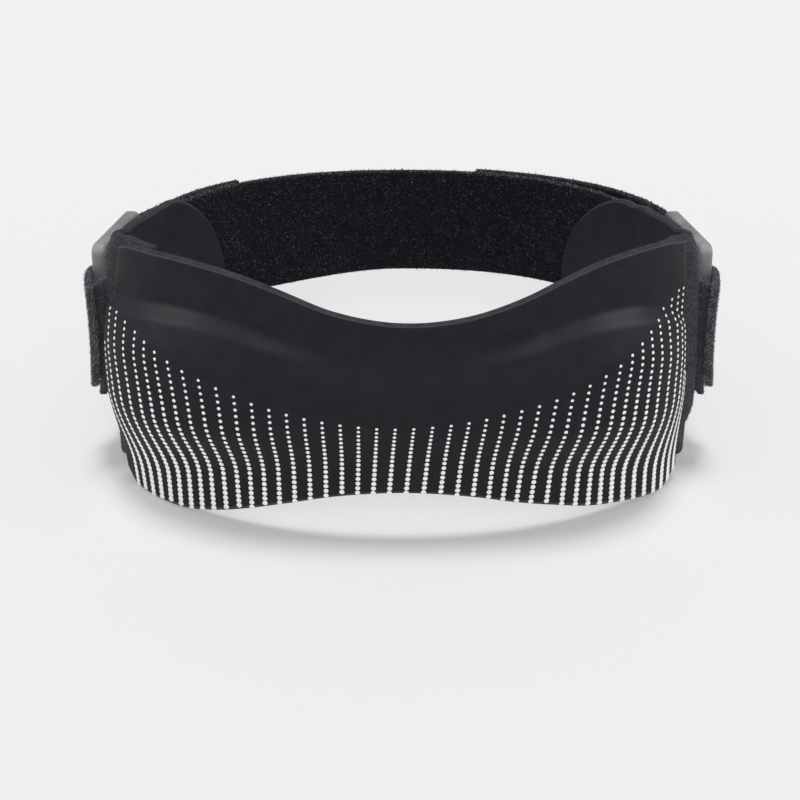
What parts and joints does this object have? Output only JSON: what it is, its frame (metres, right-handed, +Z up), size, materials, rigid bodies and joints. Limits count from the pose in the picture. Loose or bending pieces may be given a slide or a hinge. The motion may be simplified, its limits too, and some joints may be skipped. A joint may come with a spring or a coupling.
{
  "type": "patella stabilizing knee brace",
  "caption": "Soft oval knee brace: padded bone-shaped front panel with side wings, plastic rings on webbing tabs, and an adjustable pile strap closing the loop behind the knee.",
  "frame": {"origin": "on the resting plane, under the middle of the overall box", "axes": "+X across the brace towards the right of the picture, +Y from the padded front panel towards the strap, +Z up along the leg"},
  "size_m": [0.1542, 0.1128, 0.0655],
  "materials": {
    "jersey": "matt black knitted jersey over foam",
    "wing_jersey": "matt black jersey inside, black loop pile outside",
    "pile": "matt black brushed loop pile",
    "webbing": "matt black brushed webbing",
    "plastic": "grey moulded plastic, semi gloss"
  },
  "bodies": {
    "root": {"front_panel": "jersey", "wing_left": "wing_jersey", "wing_right": "wing_jersey", "tab_left": "webbing", "tab_right": "webbing", "ring_left": "plastic", "ring_right": "plastic", "strap": "pile"}
  },
  "joints": []
}
